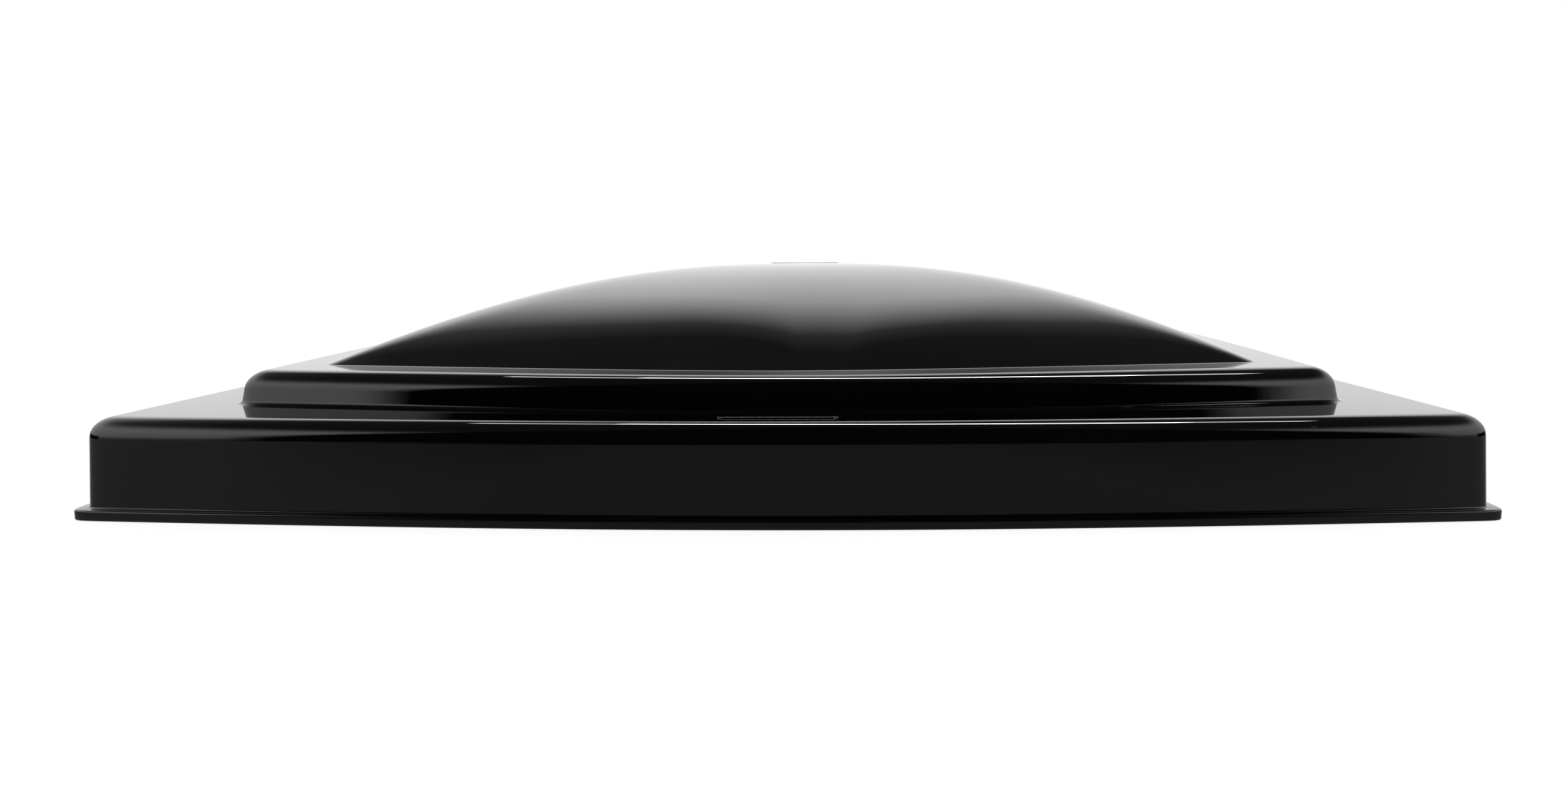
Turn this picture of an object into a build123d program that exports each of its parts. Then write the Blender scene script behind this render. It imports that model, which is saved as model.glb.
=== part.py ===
"""Roof vent cover: a hinged lid for a 14 in (356 mm) square roof vent.

The lid is one glossy plastic moulding: a thin flange lip, a low skirt, a stepped upper tier and a
pillow-shaped dome, all with gently bowed sides.  A steel pin hinge at the back carries it, and a
steel channel under the dome guides the shoe that a crank arm pushes.

Units are millimetres.  +X is right, +Y is back (the hinge side), +Z is up.  The origin is the
bottom centre of the whole assembly.
"""

import os

from build123d import *

# Lid moulding: half widths are to the corners, and a bow is how far a side bulges at its middle.
# A crown is how rounded that bulge is: 1 is one arc, and near 0 is two straight runs.
flange_half = 197.0
flange_bow = 8.5
flange_thickness = 3.0
flange_corner = 4.5
skirt_half_bottom = 195.2
skirt_half_top = 194.1
skirt_bow = 9.5
skirt_height = 28.0
skirt_corner = 6.5
skirt_crown = 0.8
tier_half_bottom = 168.7
tier_half_top = 167.3
tier_bow_bottom = 17.0
tier_bow_top = 18.0
tier_height = 38.0
tier_corner = 7.0
tier_crown = 0.65
edge_round = 5.3
dome_half = 151.0
dome_bow = 19.0
dome_crown = 0.45
dome_rise = 33.2
dome_power = 2.57
dome_sections = (1.0, 0.88, 0.74, 0.59, 0.44, 0.29, 0.15, 0.05)
dome_corner_base = 0.04
dome_corner_gain = 0.6
wall = 2.5

# Pin hinge at the back
hinge_length = 150.0
leaf_thickness = 1.2
leaf_corner = 3.0
pin_radius = 2.0
pin_clearance = 0.05
knuckle_radius = pin_radius + pin_clearance + leaf_thickness
knuckle_count = 5
knuckle_gap = 0.5
land_depth = 7.0
land_height = 23.0
land_margin = 5.0
gasket_thickness = 0.8
lid_plate_height = 15.5
base_plate_width = 22.0
base_hole_radius = 2.2
fastener_xs = (-60.0, -20.0, 20.0, 60.0)
rivet_z = 14.0
rivet_radius = 1.9
rivet_hole_radius = 2.0
rivet_head_radius = 3.8
rivet_head_height = 1.4
rivet_tail_radius = 2.9
rivet_tail_height = 1.6
backing_height = 12.0
backing_thickness = 1.5
retainer_radius = 3.1
retainer_length = 4.0
retainer_end = 1.0

# Lift track and the shoe that slides in it, measured from the middle of the lid
track_front = -146.0
track_back = 14.0
track_width = 22.0
track_depth = 11.0
track_gauge = 1.5
track_slot = 9.0
track_top = 32.0
ear_length = 14.0
ear_reach = 13.0
boss_radius = 5.0
boss_bore = 1.65
boss_bore_depth = 9.0
keel_thickness = 2.0
screw_radius = 1.6
screw_reach = 8.0
screw_hole_radius = 1.9
screw_head_radius = 3.4
screw_head_height = 2.2
recess_length = 3.6
recess_width = 0.9
recess_depth = 1.3
washer_radius = 4.6
washer_thickness = 0.8
stop_length = 9.0
stop_gap = 0.1
stop_pin_radius = 1.25
stop_pin_bore = 0.8
stop_pin_slit = 0.5
bumper_thickness = 2.0
shoe_length = 30.0
shoe_gap = 0.3
shoe_rest_gap = 0.5
neck_length = 16.0
socket_radius = 8.0
socket_drop = 15.0
socket_gap = 0.5
bush_bore = 5.05
bush_radius = 6.0
bush_length = 11.0
bush_flange_radius = 7.2
bush_flange_thickness = 0.8
clip_wire_radius = 0.6
clip_height = 4.5
clip_sweep = 300.0

# Gussets inside the skirt, and plain raised pads on the front shoulder and the dome
gusset_thickness = 1.6
gusset_pitch = 48.0
gusset_count = 7
gusset_bottom = 9.0
gusset_gap = 0.5
pad_height = 0.5
shoulder_pad_length = 34.0
shoulder_pad_width = 5.0
shoulder_pad_reach = 192.5
dome_pad_length = 34.0
dome_pad_width = 9.0

# Foam seal under the shoulder of the skirt
seal_half = 186.0
seal_width = 9.0
seal_thickness = 6.0
seal_corner = 14.0

# Places that follow from the sizes above
lid_half_overall = flange_half + flange_bow
hinge_reach = 2 * knuckle_radius + knuckle_gap + base_plate_width
lid_y = -hinge_reach / 2
leaf_y = lid_y + lid_half_overall
land_y = leaf_y - gasket_thickness
backing_y = land_y - land_depth
axis_y = leaf_y + knuckle_radius
axis_z = knuckle_radius
lid_plate_bottom = axis_z + knuckle_radius + knuckle_gap
base_plate_front = axis_y + knuckle_radius + knuckle_gap
base_hole_y = base_plate_front + base_plate_width / 2
knuckle_pitch = hinge_length / knuckle_count
knuckle_length = knuckle_pitch - knuckle_gap
pin_length = hinge_length + 2 * (retainer_length - retainer_end)
rivet_grip = leaf_thickness + gasket_thickness + land_depth + backing_thickness
track_mid = (track_front + track_back) / 2
track_length = track_back - track_front
track_bottom = track_top - track_depth
channel_width = track_width - 2 * track_gauge
channel_height = track_depth - 2 * track_gauge
channel_z = track_top - track_depth / 2
ear_x = track_width / 2 + ear_reach / 2
ear_ys = (track_front + ear_length / 2, track_back - ear_length / 2)
ear_spots = [(x, y) for x in (-ear_x, ear_x) for y in ear_ys]
head_z = track_top - track_gauge - washer_thickness
stop_ys = (track_front + stop_length / 2, track_back - stop_length / 2)
bumper_ys = (
    track_front + stop_length + bumper_thickness / 2,
    track_back - stop_length - bumper_thickness / 2,
)
shoe_y = bumper_ys[1] - bumper_thickness / 2 - shoe_rest_gap - shoe_length / 2
neck_width = track_slot - 2 * shoe_gap
socket_top = track_bottom - socket_gap
socket_bottom = track_bottom - socket_drop
clip_ring_radius = socket_radius + clip_wire_radius / 2

UPWARD = (Align.CENTER, Align.CENTER, Align.MIN)
DOWNWARD = (Align.CENTER, Align.CENTER, Align.MAX)


def level(z):
    """Horizontal plane at height z, centred on the lid."""
    return Plane((0, lid_y, z))


def across(y, z):
    """Plane that faces +X, centred on the middle of the object at (y, z)."""
    return Plane((0, y, z), x_dir=(0, 1, 0), z_dir=(1, 0, 0))


def facing_back(y, z=0.0):
    """Upright plane that faces +Y."""
    return Plane((0, y, z), x_dir=(-1, 0, 0), z_dir=(0, 1, 0))


def rivet_planes(y):
    """Planes that face +Y at the rivets, at depth y."""
    return [Plane((x, y, rivet_z), z_dir=(0, 1, 0)) for x in fastener_xs]


def knuckle_starts(first):
    """Lower x of every second knuckle, counted from the first."""
    edge = -hinge_length / 2 + knuckle_gap / 2
    return [edge + i * knuckle_pitch for i in range(first, knuckle_count, 2)]


def bowed_square(half, bow, corner, crown=skirt_crown):
    """Square with rounded corners, whose sides run out to a rounded crown at their middles."""
    peak = half + 2 * bow / crown * (1 - (1 - crown) ** 0.5)
    signs = ((1, -1), (1, 1), (-1, 1), (-1, -1))
    peaks = ((1, 0), (0, 1), (-1, 0), (0, -1))
    with BuildSketch() as outline:
        with BuildLine():
            points = []
            for (sx, sy), (px, py) in zip(signs, peaks):
                points += [(sx * half, sy * half), (px * peak, py * peak)]
            Polyline(*points, close=True)
        make_face()
        middles = [v for v in outline.vertices() if min(abs(v.X), abs(v.Y)) < half / 2]
        fillet(middles, crown * half**2 / (2 * bow))
        corners = [v for v in outline.vertices() if abs(abs(v.X) - abs(v.Y)) < half / 100]
        fillet(corners, corner)
    return outline.sketch


def dome_height(reach):
    """Height of the dome above the tier at a fraction of its half width."""
    return dome_rise * (1 - reach**dome_power)


def dome_section(reach):
    """Outline of the dome at a fraction of its half width; its corners grow rounder upwards."""
    half = dome_half * reach
    corner = half * (dome_corner_base + dome_corner_gain * (1 - reach))
    return bowed_square(half, dome_bow * reach, corner, dome_crown)


def moulding_form(inset, bottom, rounding):
    """Solid form of skirt, tier and dome, with every face moved inwards by inset."""
    shoulder = skirt_height - inset
    with BuildPart() as form:
        for half, bow, z in (
            (skirt_half_bottom, flange_bow, bottom),
            (skirt_half_top, skirt_bow, shoulder),
        ):
            with BuildSketch(level(z)):
                add(bowed_square(half - inset, bow, skirt_corner - inset))
        loft()
        fillet(form.faces().sort_by(Axis.Z)[-1].edges(), rounding)
        for half, bow, z in (
            (tier_half_bottom, tier_bow_bottom, shoulder - wall),
            (tier_half_top, tier_bow_top, tier_height - inset),
        ):
            with BuildSketch(level(z)):
                add(bowed_square(half - inset, bow, tier_corner - inset, tier_crown))
        loft()
        fillet(form.faces().sort_by(Axis.Z)[-1].edges(), rounding)
        for reach in dome_sections:
            with BuildSketch(level(tier_height - inset + dome_height(reach))):
                add(dome_section(reach))
        loft()
    return form.part


# What stands inside the lid is rooted in the middle of its wall
root_form = moulding_form(wall / 2, 0, edge_round - wall / 2)

# Bosses and keels that hold the lift track
with BuildPart() as track_supports:
    with BuildSketch(level(track_top)):
        with Locations(ear_spots):
            Circle(boss_radius)
        with Locations((-ear_x, track_mid), (ear_x, track_mid)):
            Rectangle(keel_thickness, track_length - ear_length)
        with Locations([(0, y) for y in ear_ys]):
            Rectangle(2 * ear_x, keel_thickness)
    extrude(amount=dome_rise + tier_height - track_top)
    add(root_form, mode=Mode.INTERSECT)

# Gussets between the skirt and its shoulder, outside the seal
with BuildPart() as gussets:
    with BuildSketch(level(gusset_bottom)):
        with GridLocations(gusset_pitch, 0, gusset_count, 1):
            Rectangle(gusset_thickness, 2 * lid_half_overall)
        with GridLocations(0, gusset_pitch, 1, gusset_count):
            Rectangle(2 * lid_half_overall, gusset_thickness)
    extrude(amount=skirt_height - gusset_bottom)
    add(root_form, mode=Mode.INTERSECT)
    with BuildSketch(level(0)):
        add(bowed_square(seal_half + gusset_gap, flange_bow, seal_corner))
    with BuildSketch(Plane((0, backing_y, 0))):
        Rectangle(hinge_length + 2 * land_margin, 2 * land_depth)
    extrude(amount=tier_height, mode=Mode.SUBTRACT)

with BuildPart() as lid_shell:
    add(moulding_form(0, 0, edge_round))
    with BuildSketch(level(skirt_height - wall / 2)):
        with Locations((0, -shoulder_pad_reach)):
            SlotOverall(shoulder_pad_length, shoulder_pad_width)
    extrude(amount=wall / 2 + pad_height)
    with BuildSketch(level(tier_height + dome_rise - wall / 2)):
        SlotOverall(dome_pad_length, dome_pad_width)
    extrude(amount=wall / 2 + pad_height)
    with BuildSketch(level(0)):
        add(bowed_square(flange_half, flange_bow, flange_corner))
    extrude(amount=flange_thickness)
    add(moulding_form(wall, -wall, edge_round - wall), mode=Mode.SUBTRACT)
    # Flat land for the hinge, with the lip trimmed flush
    with BuildSketch(Plane((0, land_y - land_depth / 2, 0))):
        Rectangle(hinge_length + 2 * land_margin, land_depth)
    extrude(amount=land_height)
    with BuildSketch(Plane((0, land_y + land_depth / 2, 0))):
        Rectangle(hinge_length + 2 * land_margin, land_depth)
    extrude(amount=land_height, mode=Mode.SUBTRACT)
    with Locations(rivet_planes(land_y)):
        Cylinder(rivet_hole_radius, 3 * land_depth, mode=Mode.SUBTRACT)
    add(track_supports.part)
    add(gussets.part)
    with BuildSketch(level(track_top)):
        with Locations(ear_spots):
            Circle(boss_bore)
    extrude(amount=boss_bore_depth, mode=Mode.SUBTRACT)
lid_shell.part.label = "lid_shell"

with BuildPart() as rim_seal:
    with BuildSketch(level(skirt_height - wall)):
        add(bowed_square(seal_half, flange_bow, seal_corner))
        add(
            bowed_square(seal_half - seal_width, flange_bow, seal_corner - seal_width / 2),
            mode=Mode.SUBTRACT,
        )
    extrude(amount=-seal_thickness)
    fillet(rim_seal.faces().sort_by(Axis.Z)[0].edges(), seal_thickness / 4)
rim_seal.part.label = "rim_seal"

# Hinge: one leaf riveted to the lid, one for the vent's rim, and the pin through their knuckles
with BuildPart() as hinge_lid_leaf:
    with BuildSketch(facing_back(leaf_y)):
        with Locations((0, lid_plate_bottom)):
            Rectangle(hinge_length, lid_plate_height, align=(Align.CENTER, Align.MIN))
    extrude(amount=leaf_thickness)
    fillet(hinge_lid_leaf.edges().filter_by(Axis.Y).group_by(Axis.Z)[-1], leaf_corner)
    for x in knuckle_starts(1):
        with BuildSketch(Plane.YZ.offset(x)):
            with Locations((axis_y, axis_z)):
                Circle(knuckle_radius)
            with Locations((leaf_y, axis_z)):
                Rectangle(
                    leaf_thickness, lid_plate_bottom - axis_z, align=(Align.MIN, Align.MIN)
                )
        extrude(amount=knuckle_length)
    with Locations(across(axis_y, axis_z)):
        Cylinder(pin_radius + pin_clearance, hinge_length, mode=Mode.SUBTRACT)
    with Locations(rivet_planes(leaf_y)):
        Cylinder(rivet_hole_radius, 3 * leaf_thickness, mode=Mode.SUBTRACT)
hinge_lid_leaf.part.label = "hinge_lid_leaf"

with BuildPart() as hinge_base_leaf:
    with BuildSketch(Plane((0, base_plate_front, 0))):
        Rectangle(hinge_length, base_plate_width, align=(Align.CENTER, Align.MIN))
    extrude(amount=leaf_thickness)
    fillet(hinge_base_leaf.edges().filter_by(Axis.Z).group_by(Axis.Y)[-1], leaf_corner)
    for x in knuckle_starts(0):
        with BuildSketch(Plane.YZ.offset(x)):
            with Locations((axis_y, axis_z)):
                Circle(knuckle_radius)
            with Locations((axis_y, 0)):
                Rectangle(
                    base_plate_front - axis_y, leaf_thickness, align=(Align.MIN, Align.MIN)
                )
        extrude(amount=knuckle_length)
    with Locations(across(axis_y, axis_z)):
        Cylinder(pin_radius + pin_clearance, hinge_length, mode=Mode.SUBTRACT)
    with Locations([(x, base_hole_y, 0) for x in fastener_xs]):
        Cylinder(base_hole_radius, 3 * leaf_thickness, mode=Mode.SUBTRACT)
hinge_base_leaf.part.label = "hinge_base_leaf"

with BuildPart() as hinge_pin:
    with Locations(across(axis_y, axis_z)):
        Cylinder(pin_radius, pin_length)
    chamfer(hinge_pin.edges().filter_by(GeomType.CIRCLE), pin_radius / 6)
hinge_pin.part.label = "hinge_pin"

# Push-on caps that keep the pin in
with BuildPart() as pin_cap:
    Cylinder(retainer_radius, retainer_length, align=UPWARD)
    fillet(pin_cap.edges().sort_by(Axis.Z)[-1], retainer_end)
    Cylinder(pin_radius, retainer_length - retainer_end, align=UPWARD, mode=Mode.SUBTRACT)

with BuildPart() as pin_retainers:
    with Locations(
        [
            Plane((side * hinge_length / 2, axis_y, axis_z), z_dir=(side, 0, 0))
            for side in (-1, 1)
        ]
    ):
        add(pin_cap.part)
pin_retainers.part.label = "pin_retainers"

with BuildPart() as hinge_gasket:
    with BuildSketch(facing_back(land_y)):
        with Locations((0, lid_plate_bottom)):
            Rectangle(hinge_length, lid_plate_height, align=(Align.CENTER, Align.MIN))
    extrude(amount=gasket_thickness)
    with Locations(rivet_planes(land_y)):
        Cylinder(rivet_hole_radius, 3 * leaf_thickness, mode=Mode.SUBTRACT)
hinge_gasket.part.label = "hinge_gasket"

with BuildPart() as hinge_backing_strip:
    with Locations((0, backing_y - backing_thickness / 2, rivet_z)):
        Box(hinge_length, backing_thickness, backing_height)
    fillet(hinge_backing_strip.edges().filter_by(Axis.Y), leaf_corner)
    with Locations(rivet_planes(backing_y)):
        Cylinder(rivet_hole_radius, 3 * backing_thickness, mode=Mode.SUBTRACT)
hinge_backing_strip.part.label = "hinge_backing_strip"

# One rivet, head up, standing on the face it clamps; its tail is formed over the backing strip
with BuildPart() as rivet:
    Cylinder(rivet_head_radius, rivet_head_height, align=UPWARD)
    fillet(rivet.edges().sort_by(Axis.Z)[-1], rivet_head_height * 0.8)
    Cylinder(rivet_radius, rivet_grip, align=DOWNWARD)
    with Locations((0, 0, -rivet_grip)):
        Cylinder(rivet_tail_radius, rivet_tail_height, align=DOWNWARD)
    fillet(rivet.edges().sort_by(Axis.Z)[0], rivet_tail_height * 0.7)

with BuildPart() as hinge_rivets:
    with Locations(rivet_planes(leaf_y + leaf_thickness)):
        add(rivet.part)
hinge_rivets.part.label = "hinge_rivets"

# Lift track: a lipped channel open downwards, with two screw ears at each end
with BuildPart() as lift_track:
    with BuildSketch(facing_back(lid_y + track_front, channel_z)) as track_profile:
        Rectangle(track_width, track_depth)
        fillet(track_profile.vertices(), track_gauge * 0.8)
        Rectangle(channel_width, channel_height, mode=Mode.SUBTRACT)
        with Locations((0, -channel_height / 2)):
            Rectangle(
                track_slot, 2 * track_gauge, align=(Align.CENTER, Align.MAX), mode=Mode.SUBTRACT
            )
    extrude(amount=track_length)
    with BuildSketch(level(track_top)):
        with Locations([(0, y) for y in ear_ys]):
            RectangleRounded(track_width + 2 * ear_reach, ear_length, leaf_corner)
    extrude(amount=-track_gauge)
    with BuildSketch(level(track_top)):
        with Locations(ear_spots):
            Circle(screw_hole_radius)
    extrude(amount=-track_gauge, mode=Mode.SUBTRACT)
    for y in stop_ys:
        with Locations(across(lid_y + y, channel_z)):
            Cylinder(stop_pin_radius, 2 * track_width, mode=Mode.SUBTRACT)
lift_track.part.label = "lift_track"

with BuildPart() as track_washers:
    with BuildSketch(level(head_z)):
        with Locations(ear_spots):
            Circle(washer_radius)
            Circle(screw_hole_radius, mode=Mode.SUBTRACT)
    extrude(amount=washer_thickness)
track_washers.part.label = "track_washers"

# One pan-head screw, point up, with its head below the plane it clamps
with BuildPart() as screw:
    Cylinder(screw_head_radius, screw_head_height, align=DOWNWARD)
    fillet(screw.edges().sort_by(Axis.Z)[0], screw_head_height * 0.6)
    Cylinder(screw_radius, track_top - head_z + screw_reach, align=UPWARD)
    chamfer(screw.edges().sort_by(Axis.Z)[-1], screw_radius / 2)
    with Locations((0, 0, -screw_head_height)):
        Box(recess_length, recess_width, recess_depth, align=UPWARD, mode=Mode.SUBTRACT)
        Box(recess_width, recess_length, recess_depth, align=UPWARD, mode=Mode.SUBTRACT)

with BuildPart() as track_screws:
    with Locations([(x, lid_y + y, head_z) for x, y in ear_spots]):
        add(screw.part)
track_screws.part.label = "track_screws"


def channel_block(y, length, gap):
    """Block that fills the channel's section less a gap all round."""
    with BuildPart() as block:
        with Locations((0, lid_y + y, channel_z)):
            Box(channel_width - 2 * gap, length, channel_height - 2 * gap)
    return block.part


# End stops, their cross pins and the rubber pads that the shoe meets
end_stops = []
for name, y in zip(("track_front_stop", "track_rear_stop"), stop_ys):
    with BuildPart() as stop:
        add(channel_block(y, stop_length, stop_gap))
        with Locations(across(lid_y + y, channel_z)):
            Cylinder(stop_pin_radius, 2 * track_width, mode=Mode.SUBTRACT)
    stop.part.label = name
    end_stops.append(stop)

with BuildPart() as stop_pins:
    for y in stop_ys:
        with Locations(across(lid_y + y, channel_z)):
            Cylinder(stop_pin_radius, track_width)
            Cylinder(stop_pin_bore, track_width, mode=Mode.SUBTRACT)
            Box(
                stop_pin_radius,
                stop_pin_slit,
                track_width,
                align=(Align.MIN, Align.CENTER, Align.CENTER),
                mode=Mode.SUBTRACT,
            )
stop_pins.part.label = "stop_pins"

with BuildPart() as stop_bumpers:
    for y in bumper_ys:
        add(channel_block(y, bumper_thickness, stop_gap))
stop_bumpers.part.label = "stop_bumpers"

# Shoe: a block in the channel, a neck through the slot and a socket for the crank arm's ball
with BuildPart() as lift_shoe:
    add(channel_block(shoe_y, shoe_length, shoe_gap))
    fillet(lift_shoe.edges().filter_by(Axis.Z), 1.5)
    with BuildSketch(level(socket_top)):
        with Locations((0, shoe_y)):
            Rectangle(neck_width, neck_length)
    extrude(amount=channel_z - socket_top)
    with BuildSketch(level(socket_bottom)):
        with Locations((0, shoe_y)):
            Circle(socket_radius)
    extrude(amount=socket_top - socket_bottom)
    chamfer(lift_shoe.edges().filter_by(GeomType.CIRCLE).sort_by(Axis.Z)[0], bush_flange_thickness)
    with Locations((0, lid_y + shoe_y, socket_bottom)):
        Cylinder(bush_radius, bush_length, align=UPWARD, mode=Mode.SUBTRACT)
        Cylinder(
            bush_flange_radius, bush_flange_thickness, align=UPWARD, mode=Mode.SUBTRACT
        )
    with Locations((0, lid_y + shoe_y, socket_bottom + clip_height)):
        Torus(clip_ring_radius, clip_wire_radius, mode=Mode.SUBTRACT)
lift_shoe.part.label = "lift_shoe"

with BuildPart() as socket_bush:
    with Locations((0, lid_y + shoe_y, socket_bottom)):
        Cylinder(bush_radius, bush_length, align=UPWARD)
        Cylinder(bush_flange_radius, bush_flange_thickness, align=UPWARD)
        Cylinder(bush_bore, bush_length, align=UPWARD, mode=Mode.SUBTRACT)
socket_bush.part.label = "socket_bush"

with BuildPart() as socket_clip:
    with Locations((0, lid_y + shoe_y, socket_bottom + clip_height)):
        Torus(clip_ring_radius, clip_wire_radius, major_angle=clip_sweep)
socket_clip.part.label = "socket_clip"

pieces = [
    lid_shell,
    rim_seal,
    hinge_lid_leaf,
    hinge_base_leaf,
    hinge_pin,
    pin_retainers,
    hinge_gasket,
    hinge_backing_strip,
    hinge_rivets,
    lift_track,
    track_washers,
    track_screws,
    *end_stops,
    stop_pins,
    stop_bumpers,
    lift_shoe,
    socket_bush,
    socket_clip,
]
os.makedirs("parts", exist_ok=True)
for piece in pieces:
    export_step(piece.part, f"parts/{piece.part.label}.step")
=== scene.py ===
"""Looks of the roof vent cover: its glossy moulding, its seal and hardware, and a plain studio.

Lengths are metres in the CAD frame: +X right, +Y back (the hinge side), +Z up.
"""

import math

import bmesh
import bpy
from mathutils import Matrix, Vector, noise


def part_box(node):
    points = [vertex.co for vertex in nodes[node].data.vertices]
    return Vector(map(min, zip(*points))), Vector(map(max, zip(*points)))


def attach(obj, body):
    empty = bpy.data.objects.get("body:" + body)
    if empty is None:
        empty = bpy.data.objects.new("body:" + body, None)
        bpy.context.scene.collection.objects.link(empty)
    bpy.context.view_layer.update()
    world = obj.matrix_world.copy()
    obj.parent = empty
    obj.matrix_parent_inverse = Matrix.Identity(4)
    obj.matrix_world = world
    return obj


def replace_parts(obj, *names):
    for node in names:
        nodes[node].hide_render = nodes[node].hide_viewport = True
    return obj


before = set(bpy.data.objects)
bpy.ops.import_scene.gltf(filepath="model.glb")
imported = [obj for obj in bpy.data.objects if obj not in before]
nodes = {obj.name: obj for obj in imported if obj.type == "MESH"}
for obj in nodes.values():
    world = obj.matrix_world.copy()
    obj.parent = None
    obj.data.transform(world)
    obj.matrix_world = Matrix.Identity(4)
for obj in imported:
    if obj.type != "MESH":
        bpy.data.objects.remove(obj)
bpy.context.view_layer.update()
scene = bpy.context.scene
MM = 0.001

# Places from the CAD. The lid's front is as far from its middle, at lid_y, as its right side is.
shell_low, shell_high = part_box("lid_shell")
gasket_low, gasket_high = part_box("hinge_gasket")
seal_low, seal_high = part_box("rim_seal")
screws_low, screws_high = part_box("track_screws")
lid_y = shell_low.y + shell_high.x
land_y = gasket_low.y
backing_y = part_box("hinge_backing_strip")[1].y
track_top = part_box("lift_track")[1].z

# The moulding's sizes: half widths to the corners, how far the sides bulge at their middles
# (bow), and the corners' radii. They are the CAD's, apart from the dome's corners, which are
# sharper here, and the spreads, which are how wide the rounding of a bulge is.
flange_half = 197.0 * MM
flange_thickness = 3.0 * MM
flange_corner = 4.5 * MM
flange_bow = 8.5 * MM
skirt_half_bottom = 195.2 * MM
skirt_half_top = 194.1 * MM
skirt_bow = 9.5 * MM
skirt_height = 28.0 * MM
skirt_corner = 6.5 * MM
skirt_spread = 0.8
tier_half_bottom = 168.7 * MM
tier_half_top = 167.3 * MM
tier_bow_bottom = 17.0 * MM
tier_bow_top = 18.0 * MM
tier_height = 38.0 * MM
tier_corner = 7.0 * MM
tier_spread = 0.4
edge_round = 5.3 * MM
dome_half = 151.0 * MM
dome_bow = 19.0 * MM
dome_spread = 0.25
dome_rise = 33.2 * MM
dome_power = 2.57
dome_corner_base = 0.02
dome_corner_gain = 0.5
dome_tip = 0.02
wall = 2.5 * MM
land_half = 80.0 * MM
land_height = 23.0 * MM

# Small rounds that only this model has
lip_round = 0.5 * MM
lip_root_round = 0.4 * MM
tier_root_round = 1.2 * MM
dome_root_round = 1.2 * MM

# How far a ring stands from the crease that it keeps sharp, and the heights of two rings that
# divide the skirt's inner face
support = 0.4 * MM
inner_levels = (15.0 * MM, 7.0 * MM)

# How finely curves are divided
OCTANT_STEPS = 28
CIRCLE_STEPS = 40
KEEL_STEPS = 30
DOME_STEPS = 40
ROUND_STEPS = 10
SLOT_STEPS = 10
CORNER_STEPS = 6
TIER_ROOT_STEPS = 6
ROOT_STEPS = 5
EDGE_STEPS = 5
LIP_STEPS = 4


# ---------------------------------------------------------------- small helpers

def mix(a, b, t):
    """Value at the share t of the way from a to b."""
    return a + (b - a) * t


def arc(start_angle, end_angle, steps):
    """Cosines and sines of evenly spaced angles in degrees, both ends included."""
    angles = [start_angle + (end_angle - start_angle) * i / steps for i in range(steps + 1)]
    return [(math.cos(math.radians(a)), math.sin(math.radians(a))) for a in angles]


def new_object(name, bm, *materials, smooth=True):
    """Makes an object from a bmesh, with its normals outwards."""
    mesh = bpy.data.meshes.new(name)
    bmesh.ops.recalc_face_normals(bm, faces=bm.faces)
    bm.to_mesh(mesh)
    bm.free()
    for polygon in mesh.polygons:
        polygon.use_smooth = smooth
    for material in materials:
        mesh.materials.append(material)
    made = bpy.data.objects.new(name, mesh)
    scene.collection.objects.link(made)
    return made


def skin(bm, rings, loop=False, inner_rings=0):
    """Joins equal rings of points by quads. A loop joins the last to the first, and otherwise
    fans close both ends. Faces on the first inner_rings rings take the second material."""
    made = [[bm.verts.new(p) for p in ring] for ring in rings]
    count = len(made[0])
    pairs = list(zip(made, made[1:])) + ([(made[-1], made[0])] if loop else [])
    for row, (low, high) in enumerate(pairs):
        for i in range(count):
            j = (i + 1) % count
            face = bm.faces.new((low[i], low[j], high[j], high[i]))
            face.material_index = 1 if row < inner_rings else 0
    if not loop:
        for end, inside in ((made[0], inner_rings > 0), (made[-1], False)):
            middle = bm.verts.new(sum((v.co for v in end), Vector()) / count)
            for i in range(count):
                face = bm.faces.new((end[i], end[(i + 1) % count], middle))
                face.material_index = 1 if inside else 0


def side_gauge(x, y, half, bow, spread):
    """How many times the outline has to grow for its +X side to pass through (x, y)."""
    span = math.sqrt(1 + spread * spread)
    slope = bow / (span - spread)
    peak = half + slope * span
    square = peak * peak - slope * slope * spread * spread
    across = math.sqrt(spread * spread * x * x + square * y * y / (half * half))
    return (peak * x + slope * across) / square


def bowed_outline(half, bow, spread, corner):
    """Points of a square with peaked sides and rounded corners, anticlockwise from a corner."""
    span = math.sqrt(1 + spread * spread)
    lean = math.atan(bow / (half * span * (span - spread)))
    cut = corner * (1 / math.sin(math.pi / 4 + lean) - 1)
    power = math.sqrt(2) * half * math.log(2) / cut
    offsets = [math.pi / 4 * (i / OCTANT_STEPS) ** 2 for i in range(OCTANT_STEPS)]
    angles = [-math.pi / 4 + a for a in offsets] + [0.0]
    angles += [math.pi / 4 - a for a in reversed(offsets[1:])]
    quarter = []
    for a in angles:
        x, y = math.cos(a), math.sin(a)
        near = side_gauge(x, abs(y), half, bow, spread)
        far = side_gauge(abs(y), x, half, bow, spread)
        reach = 1 / (near * (1 + (far / near) ** power) ** (1 / power))
        quarter.append(Vector((x * reach, y * reach)))
    return [Matrix.Rotation(q * math.pi / 2, 2) @ p for q in range(4) for p in quarter]


def ring(half, bow, spread, corner, z):
    """One closed ring of the moulding: an outline at height z."""
    return [Vector((p.x, lid_y + p.y, z)) for p in bowed_outline(half, bow, spread, corner)]


def rounded_rectangle(half_x, half_y, corner, steps=CORNER_STEPS):
    """Points of a rectangle with rounded corners about the origin, anticlockwise."""
    points = []
    for q, (sx, sy) in enumerate(((1, 1), (-1, 1), (-1, -1), (1, -1))):
        x, y = sx * (half_x - corner), sy * (half_y - corner)
        points += [(x + corner * c, y + corner * s) for c, s in arc(90 * q, 90 * q + 90, steps)]
    return points


# ---------------------------------------------------------------- the moulding's profiles

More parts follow.
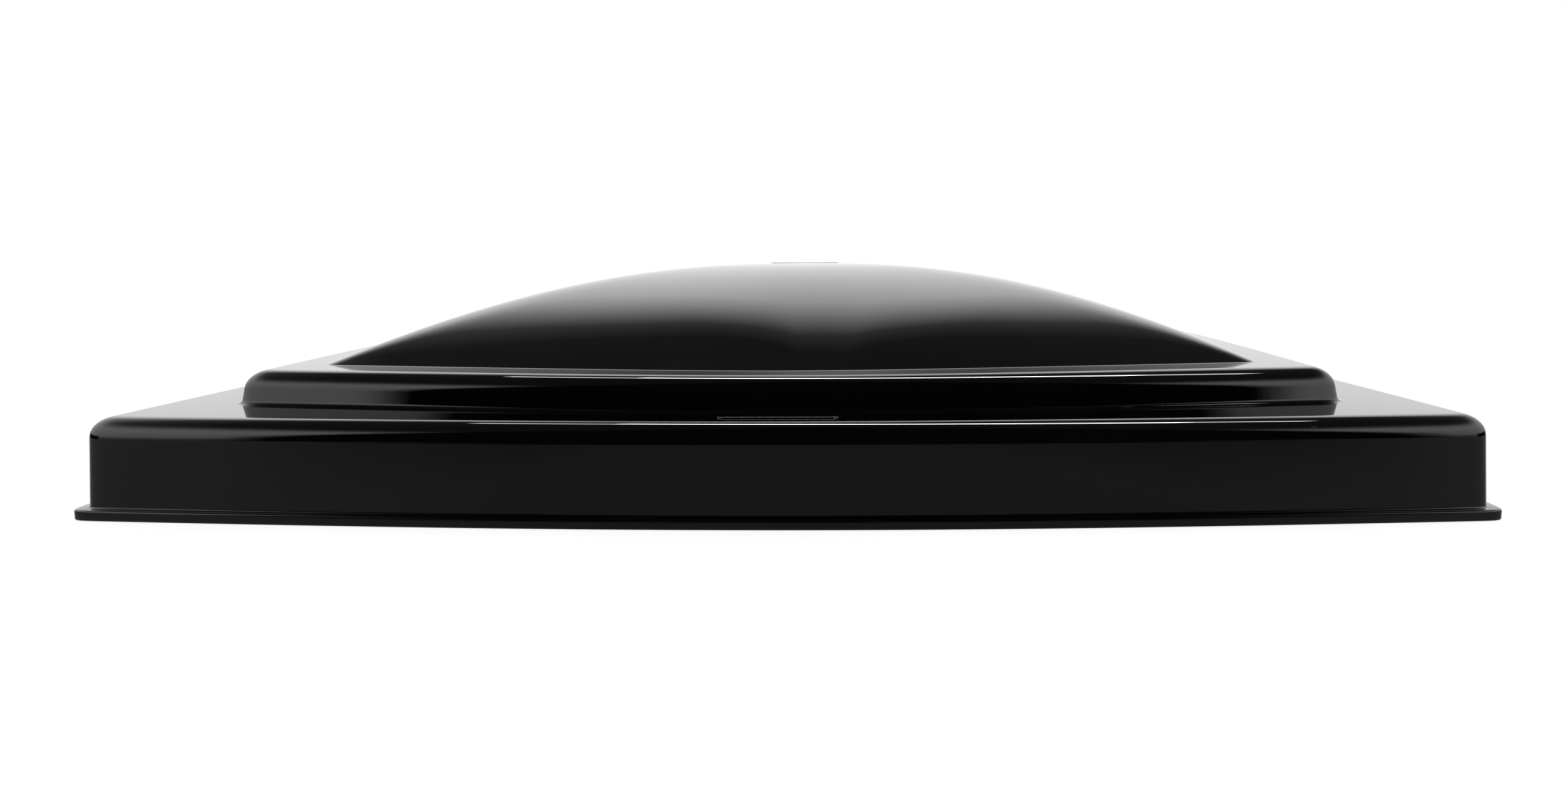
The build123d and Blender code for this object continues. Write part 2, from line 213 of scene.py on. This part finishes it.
def skirt_at(z, inset):
    """Half width, bow, spread and corner of the drafted skirt at height z, moved inwards."""
    t = z / skirt_height
    half = mix(skirt_half_bottom, skirt_half_top, t)
    return half - inset, mix(flange_bow, skirt_bow, t), skirt_spread, skirt_corner - inset


def tier_at(z, inset):
    """Half width, bow, spread and corner of the drafted upper tier at height z, moved inwards."""
    t = (z - skirt_height) / (tier_height - skirt_height)
    half = mix(tier_half_bottom, tier_half_top, t)
    return half - inset, mix(tier_bow_bottom, tier_bow_top, t), tier_spread, tier_corner - inset


def dome_lift(reach):
    """Height of the dome above its root at a fraction of its half width."""
    return dome_rise * (1 - reach**dome_power)


def dome_corner(reach):
    """Corner radius of the dome's outline at a fraction of its half width."""
    return dome_half * reach * (dome_corner_base + dome_corner_gain * (1 - reach))


def dome_rows(drop):
    """Rings of the dome from its hollow root round to near its top, lowered by drop."""
    slope = math.atan(dome_rise * dome_power / dome_half)
    reach_out = dome_root_round * math.tan(slope / 2)
    foot = tier_height - drop
    rows = []
    for i in range(ROOT_STEPS + 1):
        a = slope * i / ROOT_STEPS
        half = dome_half + reach_out - dome_root_round * math.sin(a)
        rows.append((half, foot + dome_root_round * (1 - math.cos(a))))
    start = rows[-1][0] / dome_half
    for i in range(1, DOME_STEPS + 1):
        reach = mix(start, dome_tip, i / DOME_STEPS)
        rows.append((dome_half * reach, foot + dome_lift(reach)))
    shaped = []
    for half, z in rows:
        reach = half / dome_half
        shaped.append((half, dome_bow * reach, dome_spread, dome_corner(min(reach, 1.0)), z))
    return shaped


def between(start, end, places, z):
    """Rings across a flat at height z, between two outlines."""
    return [(*(mix(a, b, t) for a, b in zip(start, end)), z) for t in places]


def outer_profile():
    """Rings of the outside as (half, bow, spread, corner, z), from the lip's foot to the top."""
    rows = []

    def lip(c, z):
        inset = lip_round * (1 - c)
        rows.append((flange_half - inset, flange_bow, skirt_spread, flange_corner - inset, z))

    for c, s in arc(-90, 0, LIP_STEPS):
        lip(c, lip_round * (1 + s))
    for c, s in arc(0, 90, LIP_STEPS):
        lip(c, flange_thickness - lip_round * (1 - s))
    for c, s in arc(90, 0, ROOT_STEPS):
        z = flange_thickness + lip_root_round * (1 - s)
        rows.append((*skirt_at(z, -lip_root_round * (1 - c)), z))
    low, high = flange_thickness + lip_root_round, skirt_height - edge_round
    for z in (low + support, mix(low, high, 0.35), mix(low, high, 0.7), high - support):
        rows.append((*skirt_at(z, 0), z))
    for c, s in arc(0, 90, ROUND_STEPS):
        z = skirt_height - edge_round * (1 - s)
        rows.append((*skirt_at(z, edge_round * (1 - c)), z))
    start, end = skirt_at(skirt_height, edge_round), tier_at(skirt_height, -tier_root_round)
    rows += between(start, end, (0.03, 0.35, 0.7, 0.97), skirt_height)
    for c, s in arc(90, 0, TIER_ROOT_STEPS):
        z = skirt_height + tier_root_round * (1 - s)
        rows.append((*tier_at(z, -tier_root_round * (1 - c)), z))
    for c, s in arc(0, 90, ROUND_STEPS):
        z = tier_height - edge_round * (1 - s)
        rows.append((*tier_at(z, edge_round * (1 - c)), z))
    dome = dome_rows(0)
    rows += between(tier_at(tier_height, edge_round), dome[0][:4], (0.05, 0.5, 0.95), tier_height)
    return rows + dome


def inner_profile():
    """Rings of the inside, a wall's thickness in, from the dome's top to the skirt's foot."""
    small = edge_round - wall
    ledge, shoulder = tier_height - wall, skirt_height - wall
    rows = list(reversed(dome_rows(wall)))
    for c, s in arc(90, 0, ROUND_STEPS):
        z = ledge - small * (1 - s)
        rows.append((*tier_at(z, wall + small * (1 - c)), z))
    rows.append((*tier_at(shoulder, wall), shoulder + support))
    start, end = tier_at(shoulder, wall - support), skirt_at(shoulder, wall + small)
    rows += between(start, end, (0.0, 0.3, 0.6, 0.95), shoulder)
    for c, s in arc(90, 0, ROUND_STEPS):
        z = shoulder - small * (1 - s)
        rows.append((*skirt_at(z, wall + small * (1 - c)), z))
    for z in (*inner_levels, support):
        rows.append((*skirt_at(z, wall), z))
    rows.append((*skirt_at(0.0, wall - support), 0.0))
    return rows


def mid_wall(x, y):
    """Height of the middle of the dome's wall over (x, y), measured from the lid's middle."""
    far, near = max(abs(x), abs(y)), min(abs(x), abs(y))
    reach = side_gauge(far, near, dome_half, dome_bow, dome_spread)
    return tier_height - wall / 2 + dome_lift(min(reach, 1.0))


# ---------------------------------------------------------------- materials

def start_material(name):
    """A material and its node tree, Principled shader and object coordinates."""
    material = bpy.data.materials.new(name)
    material.use_nodes = True
    tree = material.node_tree
    shader = tree.nodes["Principled BSDF"]
    coords = tree.nodes.new("ShaderNodeTexCoord").outputs["Object"]
    return material, tree, shader, coords


def stretched(tree, coords, scale):
    """Coordinates scaled unevenly, for brushed or drawn grain."""
    mapping = tree.nodes.new("ShaderNodeMapping")
    mapping.inputs["Scale"].default_value = scale
    tree.links.new(coords, mapping.inputs["Vector"])
    return mapping.outputs["Vector"]


def noise_field(tree, coords, scale, detail=3.0, roughness=0.5):
    """Smooth noise with scale cells to a metre."""
    field = tree.nodes.new("ShaderNodeTexNoise")
    field.inputs["Scale"].default_value = scale
    field.inputs["Detail"].default_value = detail
    field.inputs["Roughness"].default_value = roughness
    tree.links.new(coords, field.inputs["Vector"])
    return field.outputs["Fac"]


def cell_field(tree, coords, scale):
    """Distance to the nearest of scattered points, with scale cells to a metre."""
    field = tree.nodes.new("ShaderNodeTexVoronoi")
    field.inputs["Scale"].default_value = scale
    tree.links.new(coords, field.inputs["Vector"])
    return field.outputs["Distance"]


def ramp(tree, value, *stops):
    """Colour ramp; each stop is (place, grey or colour)."""
    made = tree.nodes.new("ShaderNodeValToRGB")
    elements = made.color_ramp.elements
    while len(elements) < len(stops):
        elements.new(0.5)
    for element, (place, colour) in zip(elements, stops):
        element.position = place
        grey = (colour,) * 3 if isinstance(colour, (int, float)) else tuple(colour)
        element.color = (*grey, 1.0)
    tree.links.new(value, made.inputs["Fac"])
    return made.outputs["Color"]


def vary(tree, socket, value, *stops):
    """Drives a shader's socket by a colour ramp of a value."""
    tree.links.new(ramp(tree, value, *stops), socket)


def feed(tree, sockets, values):
    """Gives each socket its value, which is another socket or a number."""
    for socket, value in zip(sockets, values):
        if isinstance(value, (int, float)):
            socket.default_value = value
        else:
            tree.links.new(value, socket)


def maths(tree, operation, *values):
    """Math node on values that are sockets or numbers."""
    made = tree.nodes.new("ShaderNodeMath")
    made.operation = operation
    feed(tree, made.inputs, values)
    return made.outputs["Value"]


def blend(tree, share, first, second):
    """Mix of two values, by the share of the second."""
    made = tree.nodes.new("ShaderNodeMix")
    made.data_type = "FLOAT"
    feed(tree, (made.inputs[0], made.inputs[2], made.inputs[3]), (share, first, second))
    return made.outputs[0]


def bump(tree, shader, height, strength, distance):
    """Bumps the shader's normals by a height field that spans a distance."""
    made = tree.nodes.new("ShaderNodeBump")
    made.inputs["Strength"].default_value = strength
    made.inputs["Distance"].default_value = distance
    tree.links.new(height, made.inputs["Height"])
    tree.links.new(made.outputs["Normal"], shader.inputs["Normal"])


def gloss_plastic():
    """Polished black ABS: faint waviness, faint haze and a scuffed lip."""
    material, tree, shader, coords = start_material("black_plastic")
    dark, light = (0.0008, 0.0008, 0.0009), (0.0014, 0.0014, 0.0016)
    tint = noise_field(tree, coords, 25)
    vary(tree, shader.inputs["Base Color"], tint, (0.3, dark), (0.7, light))
    haze = ramp(tree, noise_field(tree, coords, 14, 4), (0.35, 0.022), (0.75, 0.036))
    split = tree.nodes.new("ShaderNodeSeparateXYZ")
    tree.links.new(coords, split.inputs[0])
    scuffs = noise_field(tree, stretched(tree, coords, (90, 90, 900)), 1.0, 5, 0.7)
    centimetres_up = maths(tree, "MULTIPLY", split.outputs["Z"], 100)
    near_lip = ramp(tree, centimetres_up, (0.15, 1.0), (0.4, 0.0))
    worn = maths(tree, "MULTIPLY", near_lip, ramp(tree, scuffs, (0.45, 0.0), (0.75, 0.18)))
    tree.links.new(maths(tree, "ADD", haze, worn), shader.inputs["Roughness"])
    shader.inputs["IOR"].default_value = 1.5
    bump(tree, shader, noise_field(tree, coords, 180, 2), 0.06, 0.1 * MM)
    return material


def matt_plastic():
    """The unpolished inside of the moulding."""
    material, tree, shader, coords = start_material("black_plastic_inner")
    tint = noise_field(tree, coords, 60)
    vary(tree, shader.inputs["Base Color"], tint, (0.3, 0.006), (0.7, 0.011))
    haze = noise_field(tree, coords, 350, 4)
    vary(tree, shader.inputs["Roughness"], haze, (0.3, 0.3), (0.7, 0.44))
    bump(tree, shader, noise_field(tree, coords, 1400, 3), 0.25, 0.1 * MM)
    return material


def metal(name, light, dark, smooth, rough, grain=(1.0, 1.0, 1.0), patch=220):
    """Metal whose colour and polish vary in patches, with grain along an axis if it is uneven."""
    material, tree, shader, coords = start_material(name)
    shader.inputs["Metallic"].default_value = 1.0
    patches = noise_field(tree, coords, patch, 4, 0.6)
    vary(tree, shader.inputs["Base Color"], patches, (0.35, dark), (0.65, light))
    lines = noise_field(tree, stretched(tree, coords, grain), 900, 4, 0.6)
    vary(tree, shader.inputs["Roughness"], lines, (0.3, smooth), (0.7, rough))
    bump(tree, shader, lines, 0.3, 0.04 * MM)
    return material


def brass():
    """Turned brass with fine tool rings round its axis."""
    material, tree, shader, coords = start_material("brass_bush")
    shader.inputs["Metallic"].default_value = 1.0
    tarnished, clean = (0.58, 0.38, 0.13), (0.74, 0.53, 0.22)
    tint = noise_field(tree, coords, 300, 4)
    vary(tree, shader.inputs["Base Color"], tint, (0.35, tarnished), (0.65, clean))
    turned = noise_field(tree, stretched(tree, coords, (0.04, 0.04, 1.0)), 4000, 3)
    vary(tree, shader.inputs["Roughness"], turned, (0.3, 0.16), (0.7, 0.3))
    bump(tree, shader, turned, 0.3, 0.04 * MM)
    return material


def nylon():
    """Natural nylon: warm white, slightly cloudy, with a faint moulded grain."""
    material, tree, shader, coords = start_material("white_nylon")
    dark, light = (0.72, 0.69, 0.62), (0.80, 0.78, 0.72)
    clouds = noise_field(tree, coords, 120, 4)
    vary(tree, shader.inputs["Base Color"], clouds, (0.3, dark), (0.7, light))
    haze = noise_field(tree, coords, 700, 3)
    vary(tree, shader.inputs["Roughness"], haze, (0.3, 0.38), (0.7, 0.52))
    shader.inputs["Subsurface Weight"].default_value = 0.15
    shader.inputs["Subsurface Scale"].default_value = 2.0 * MM
    bump(tree, shader, noise_field(tree, coords, 1600, 3), 0.15, 0.05 * MM)
    return material


def foam():
    """Closed-cell black foam with open pores at its cut faces, and painted shade in the pores."""
    material, tree, shader, coords = start_material("black_foam")
    cells = cell_field(tree, coords, 1300)
    # Painted shade: the base colour darkens towards each cell's middle, where the bump dents a
    # pore
    vary(tree, shader.inputs["Base Color"], cells, (0.05, 0.006), (0.45, 0.02), (0.8, 0.032))
    haze = noise_field(tree, coords, 300)
    vary(tree, shader.inputs["Roughness"], haze, (0.3, 0.8), (0.7, 0.95))
    shader.inputs["Sheen Weight"].default_value = 0.08
    bump(tree, shader, cells, 0.8, 0.3 * MM)
    return material


def rubber():
    """Moulded black rubber with a dusty bloom."""
    material, tree, shader, coords = start_material("black_rubber")
    bloom = noise_field(tree, coords, 400, 5)
    vary(tree, shader.inputs["Base Color"], bloom, (0.35, 0.012), (0.7, 0.03))
    haze = noise_field(tree, coords, 900, 3)
    vary(tree, shader.inputs["Roughness"], haze, (0.3, 0.55), (0.7, 0.75))
    bump(tree, shader, noise_field(tree, coords, 2200, 3), 0.3, 0.08 * MM)
    return material


gloss = gloss_plastic()
matt = matt_plastic()
foam_material = foam()
zinc = metal("zinc_steel", (0.66, 0.67, 0.67), (0.50, 0.52, 0.54), 0.24, 0.40, patch=160)
steel = metal("bright_steel", (0.74, 0.73, 0.71), (0.64, 0.63, 0.62), 0.14, 0.26)
brushed = metal(
    "aluminium_strip", (0.84, 0.84, 0.85), (0.75, 0.75, 0.77), 0.24, 0.42, grain=(0.03, 1.0, 1.0)
)
rivet = metal("rivet_aluminium", (0.82, 0.82, 0.83), (0.70, 0.70, 0.72), 0.22, 0.36)

# The CAD's own nodes, with the finish of each
for material, names in (
    (zinc, ("hinge_lid_leaf", "hinge_base_leaf", "lift_track")),
    (steel, ("hinge_pin", "pin_retainers", "track_washers", "track_screws")),
    (steel, ("stop_pins", "socket_clip")),
    (brushed, ("hinge_backing_strip",)),
    (rivet, ("hinge_rivets",)),
    (nylon(), ("track_front_stop", "track_rear_stop", "lift_shoe")),
    (brass(), ("socket_bush",)),
    (rubber(), ("stop_bumpers",)),
    (gloss, ("lid_shell",)),
    (foam_material, ("rim_seal", "hinge_gasket")),
):
    for name in names:
        nodes[name].data.materials.clear()
        nodes[name].data.materials.append(material)


# ---------------------------------------------------------------- the lid's moulding

inner = inner_profile()
outer = outer_profile()
rings = [ring(*row) for row in inner + outer]
trim_y = land_y - 0.1 * MM  # the bulge at the back stops just short of the land's face
for points in rings:
    for p in points:
        p.y = min(p.y, trim_y)
bm = bmesh.new()
skin(bm, rings, inner_rings=len(inner))
lid_skin = new_object("lid_skin", bm, gloss, matt)
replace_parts(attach(lid_skin, "lid"), "lid_shell")


def moulded(name, bm, material, smooth=True):
    """Makes a further piece of the lid's moulding."""
    made = new_object(name, bm, material, smooth=smooth)
    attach(made, "lid")


def pillar(name, outline, rows, y):
    """Upright block on the lid's middle line: outline(inset) is its ring, rows are (inset, z)."""
    bm = bmesh.new()
    skin(bm, [[Vector((dx, y + dy, z)) for dx, dy in outline(inset)] for inset, z in rows])
    moulded(name, bm, gloss)


def edge_rows(low, high, low_round, high_round):
    """(inset, z) rows of a block with both its lower and upper edges rounded."""
    rows = [(low_round * (1 - c), low + low_round * (1 + s)) for c, s in arc(-90, 0, EDGE_STEPS)]
    for c, s in arc(0, 90, EDGE_STEPS):
        rows.append((high_round * (1 - c), high - high_round * (1 - s)))
    return rows


# The flat land that the hinge's leaf lies on
land_depth = land_y - backing_y
land_foot = 0.05 * MM
land_corner = 1.2 * MM
land_foot_round = 0.3 * MM
land_top_round = 0.8 * MM
pillar(
    "lid_hinge_land",
    lambda inset: rounded_rectangle(
        land_half - inset, land_depth / 2 - inset, land_corner - inset
    ),
    edge_rows(land_foot, land_height, land_foot_round, land_top_round),
    (land_y + backing_y) / 2,
)

# Plain raised pads on the front shoulder and on top, with round ends
pad_half_length = 17.0 * MM
pad_foot_round = 0.05 * MM
pad_top_round = 0.3 * MM
shoulder_pad_y = -192.5 * MM
shoulder_pad_half = 2.5 * MM
shoulder_pad_rise = 0.4 * MM
shoulder_pad_depth = 1.2 * MM
dome_pad_half = 4.5 * MM
dome_pad_drop = 0.3 * MM  # how much lower than in the CAD
dome_pad_depth = 1.5 * MM
for name, half, y, top, depth in (
    (
        "lid_shoulder_pad",
        shoulder_pad_half,
        shoulder_pad_y,
        skirt_height + shoulder_pad_rise,
        shoulder_pad_depth,
    ),
    ("lid_dome_pad", dome_pad_half, 0.0, shell_high.z - dome_pad_drop, dome_pad_depth),
):
    pillar(
        name,
        lambda inset: rounded_rectangle(
            pad_half_length - inset, half - inset, half - inset, SLOT_STEPS
        ),
        edge_rows(top - depth, top, pad_foot_round, pad_top_round),
        lid_y + y,
    )

# Bosses for the track's screws, rooted in the dome's wall. A row is (radius, height over the
# track), and the last one ends in the wall.
screw_head = 3.4 * MM  # radius of a screw's head
boss_x = screws_high.x - screw_head
boss_ys = [screws_low.y + screw_head - lid_y, screws_high.y - screw_head - lid_y]
boss_radius = 5.0 * MM
boss_round = 0.4 * MM
boss_round_middle = 0.12 * MM
bore_radius = 1.65 * MM
bore_mouth = 2.0 * MM
bore_mouth_depth = 0.4 * MM
bore_depth = 9.0 * MM
boss_rows = (
    (bore_radius, bore_depth),
    (bore_radius, bore_mouth_depth),
    (bore_mouth, 0.0),
    (boss_radius - boss_round, 0.0),
    (boss_radius - boss_round_middle, boss_round_middle),
    (boss_radius, boss_round),
    (boss_radius, None),
)
bm = bmesh.new()
for x0 in (-boss_x, boss_x):
    for y0 in boss_ys:
        circles = []
        for r, up in boss_rows:
            circle = []
            for c, s in arc(0, 360, CIRCLE_STEPS)[:-1]:
                x, y = x0 + r * c, y0 + r * s
                z = mid_wall(x, y) if up is None else track_top + up
                circle.append(Vector((x, lid_y + y, z)))
            circles.append(circle)
        skin(bm, circles)
moulded("lid_track_bosses", bm, matt)

# Keels between the bosses
keel_half = 1.0 * MM
keel_edge = 0.3 * MM
front_y, rear_y = boss_ys
corners = [(boss_x, front_y), (boss_x, rear_y), (-boss_x, rear_y), (-boss_x, front_y)]
bm = bmesh.new()
for (xa, ya), (xb, yb) in zip(corners, corners[1:] + corners[:1]):
    along = Vector((xb - xa, yb - ya)).normalized()
    side = Vector((along.y, -along.x))
    stations = []
    for i in range(KEEL_STEPS + 1):
        x, y = mix(xa, xb, i / KEEL_STEPS), mix(ya, yb, i / KEEL_STEPS)
        top = mid_wall(x, y)
        section = (
            (-keel_half, top),
            (-keel_half, track_top + keel_edge),
            (-keel_half + keel_edge, track_top),
            (keel_half - keel_edge, track_top),
            (keel_half, track_top + keel_edge),
            (keel_half, top),
        )
        stations.append([Vector((x + side.x * w, lid_y + y + side.y * w, z)) for w, z in section])
    skin(bm, stations)
moulded("lid_track_keels", bm, matt, smooth=False)

# Gussets between the skirt and its shoulder, outside the seal and clear of the hinge land
gusset_pitch = 48.0 * MM
gusset_half = 0.8 * MM
gusset_gap = 0.5 * MM
gusset_foot = 9.0 * MM
gusset_chamfer = 2.0 * MM
gusset_root = 2.1 * MM  # depth below the outer surface, which is inside the wall
gussets_from_middle = 3
bm = bmesh.new()
for q in range(4):
    turn = Matrix.Rotation(q * math.pi / 2, 3, "Z")
    for i in range(-gussets_from_middle, gussets_from_middle + 1):
        x = i * gusset_pitch
        if q == 2 and abs(x) < land_half:
            continue
        near = -(seal_high.x + gusset_gap - flange_bow * (x / seal_high.x) ** 2)
        bulge = flange_bow * (1 - (x / skirt_half_bottom) ** 2)
        far = -(skirt_half_bottom - gusset_root + bulge)
        top = skirt_height - gusset_root
        section = (
            (far, gusset_foot),
            (near - gusset_chamfer, gusset_foot),
            (near, gusset_foot + gusset_chamfer),
            (near, top),
            (far, top),
        )
        sides = [
            [turn @ Vector((x + w, y, z)) + Vector((0, lid_y, 0)) for y, z in section]
            for w in (-gusset_half, gusset_half)
        ]
        skin(bm, sides)
moulded("lid_gussets", bm, matt, smooth=False)


# ---------------------------------------------------------------- foam

def soften(points, amount, scale):
    """Moves points by up to an amount of smooth noise, as cut foam is never quite even."""
    return [p + noise.noise_vector(p * scale) * amount for p in points]


# Without a seed other than 0 the noise would start from the clock, and differ on each run
FOAM_SEED = 1
noise.seed_set(FOAM_SEED)

# The seal's section is (inset, z), from its outer top edge round its rounded foot to its inner
seal_width = 9.0 * MM
seal_round = 1.5 * MM
seal_corner = 14.0 * MM
seal_slack = 0.3 * MM  # room for the foam's unevenness inside the CAD's seal
seal_half = seal_high.x - flange_bow - seal_slack
waist = mix(seal_high.z, seal_low.z, 0.4)
section = [(0.0, seal_high.z), (0.0, waist)]
for c, s in arc(0, -90, EDGE_STEPS):
    section.append((seal_round * (1 - c), seal_low.z + seal_round * (1 + s)))
for c, s in arc(-90, 0, EDGE_STEPS):
    section.append((seal_width - seal_round * (1 - c), seal_low.z + seal_round * (1 + s)))
section += [(seal_width, waist), (seal_width, seal_high.z)]
rings = []
for w, z in reversed(section):
    points = ring(seal_half - w, flange_bow, skirt_spread, seal_corner - w / 2, z)
    rings.append(soften(points, amount=0.25 * MM, scale=60))
bm = bmesh.new()
skin(bm, rings, loop=True)
seal = new_object("rim_seal_foam", bm, foam_material)
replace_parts(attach(seal, "lid"), "rim_seal")

# The gasket's rows are (inset, share of its thickness)
gasket_corner = 3.0 * MM
gasket_middle = (gasket_low + gasket_high) / 2
gasket_half = (gasket_high - gasket_low) / 2
rings = []
for inset, t in ((0.3 * MM, 0.0), (0.08 * MM, 0.2), (0.0, 0.5), (0.08 * MM, 0.8), (0.3 * MM, 1.0)):
    y = mix(gasket_low.y, gasket_high.y, t)
    outline = rounded_rectangle(
        gasket_half.x - inset, gasket_half.z - inset, gasket_corner - inset
    )
    rings.append([Vector((-x, y, gasket_middle.z + z)) for x, z in outline])
bm = bmesh.new()
skin(bm, rings)
gasket = new_object("hinge_gasket_foam", bm, foam_material)
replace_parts(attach(gasket, "lid"), "hinge_gasket")


# ---------------------------------------------------------------- studio

def studio_world():
    """White surroundings. Gloss sees pale walls at the sides and back, and dark in front and
    above."""
    world = bpy.data.worlds.new("studio")
    scene.world = world
    world.use_nodes = True
    tree = world.node_tree
    background = tree.nodes["Background"]
    direction = tree.nodes.new("ShaderNodeTexCoord").outputs["Generated"]
    split = tree.nodes.new("ShaderNodeSeparateXYZ")
    tree.links.new(direction, split.inputs[0])
    x, y, z = split.outputs
    turn = maths(tree, "ARCTAN2", x, maths(tree, "MULTIPLY", y, -1.0))
    turn = maths(tree, "MULTIPLY_ADD", turn, 0.5 / math.pi, 0.5)

    def around(*stops):
        """Share by the angle from the front, in degrees, the same on the left and the right."""
        near = [(0.5 - d / 360, v) for d, v in reversed(stops)]
        return ramp(tree, turn, *near, *((0.5 + d / 360, v) for d, v in stops))

    # The walls sit lower behind and higher right at the back; a sink of 0.5 leaves them in place
    sink = around((110, 0.5), (135, 1.0), (150, 0.83), (165, 0.63), (172, 0.4), (176, 0.23))
    height = maths(tree, "MULTIPLY_ADD", z, 0.5, 0.45)
    height = maths(tree, "MULTIPLY_ADD", sink, 0.1, height)

    def up(*stops):
        """Brightness by the elevation, in degrees."""
        return ramp(tree, height, *((0.5 + math.sin(math.radians(d)) / 2, v) for d, v in stops))

    middle_front = up((-90, 0.12), (-12, 0.12), (-9, 0.06), (-7.8, 0.0))
    front = up((-90, 0.12), (-9, 0.155), (-5, 0.155), (-3.5, 0.0))
    wall_top = (
        (25, 0.97), (32, 1.0), (37, 0.75), (41, 0.44), (45, 0.12), (50, 0.04), (90, 0.03),
    )
    front_corner = up((-6, 0.155), (0, 0.3), (5, 0.75), *wall_top)
    side = up((-5, 0.155), (-3.5, 0.0), (3.5, 0.01), (5, 0.69), (8, 0.75), *wall_top)
    behind = up((-90, 0.1), (-20, 0.3), (-10, 0.66), (8, 0.75), *wall_top)

    # Each zone takes over from the one before it between two angles from the front
    seen = middle_front
    for start, end, zone in (
        (25, 45, front),
        (42.5, 45.5, front_corner),
        (60, 65, side),
        (95, 110, behind),
    ):
        seen = blend(tree, around((start, 0.0), (end, 1.0)), seen, zone)
    full_radiance = 1.6
    seen = maths(tree, "MULTIPLY", seen, full_radiance)
    glossy = tree.nodes.new("ShaderNodeLightPath").outputs["Is Glossy Ray"]
    tree.links.new(blend(tree, glossy, 1.0, seen), background.inputs["Strength"])
    background.inputs["Color"].default_value = (1.0, 1.0, 1.0, 1.0)


def studio_floor():
    """Pale floor that stays almost white beside the object, and isn't seen in its gloss."""
    radius = 30.0
    gap = 0.05 * MM
    bm = bmesh.new()
    bmesh.ops.create_circle(bm, cap_ends=True, segments=96, radius=radius)
    material, tree, shader, coords = start_material("floor")
    shade = ramp(tree, noise_field(tree, coords, 2.0), (0.3, 0.34), (0.7, 0.36))
    tree.links.new(shade, shader.inputs["Base Color"])
    shader.inputs["Roughness"].default_value = 1.0
    shader.inputs["Specular IOR Level"].default_value = 0.0
    shader.inputs["Emission Color"].default_value = (1.0, 1.0, 1.0, 1.0)
    shader.inputs["Emission Strength"].default_value = 0.75
    made = new_object("floor", bm, material, smooth=False)
    made.location.z = -gap
    made.visible_glossy = False


def soft_box(name, place, width, depth, radiance, diffuse=True):
    """Area light at a place, aimed at the origin. Without diffuse only gloss shows it."""
    light = bpy.data.lights.new(name, "AREA")
    light.shape = "RECTANGLE"
    light.size, light.size_y = width, depth
    light.energy = radiance * math.pi * width * depth
    lamp = bpy.data.objects.new(name, light)
    scene.collection.objects.link(lamp)
    lamp.location = place
    lamp.rotation_euler = Vector(place).to_track_quat("Z", "Y").to_euler()
    lamp.visible_camera = False
    lamp.visible_diffuse = diffuse


studio_world()
studio_floor()
soft_box("overhead", (0.10, 0.42, 1.39), width=1.9, depth=0.13, radiance=10.0)
soft_box(
    "edge_light", (0.14, 0.42, 1.38), width=1.3, depth=0.12, radiance=24.0, diffuse=False
)

scene.view_settings.view_transform = "Standard"

# Camera at the photograph's view: low in front of the lid, and looking slightly down
camera_x, camera_distance, camera_height = 16.944 * MM, 421.349 * MM, 69.111 * MM
camera_yaw, camera_pitch, camera_roll = 0.959, 5.017, -0.292  # degrees
camera_data = bpy.data.cameras.new("camera")
camera = bpy.data.objects.new("camera", camera_data)
scene.collection.objects.link(camera)
scene.camera = camera
camera_data.sensor_fit = "HORIZONTAL"
camera_data.sensor_width = 36.0
camera_data.lens = 19.305
camera_data.shift_x = -0.02616
camera_data.shift_y = -0.03805
camera_data.clip_start = 0.01
camera_data.clip_end = 100.0
camera.location = (camera_x, lid_y - camera_distance, camera_height)
camera.rotation_mode = "QUATERNION"
camera.rotation_quaternion = (
    Matrix.Rotation(math.radians(camera_yaw), 3, "Z")
    @ Matrix.Rotation(math.radians(90 - camera_pitch), 3, "X")
    @ Matrix.Rotation(math.radians(camera_roll), 3, "Z")
).to_quaternion()
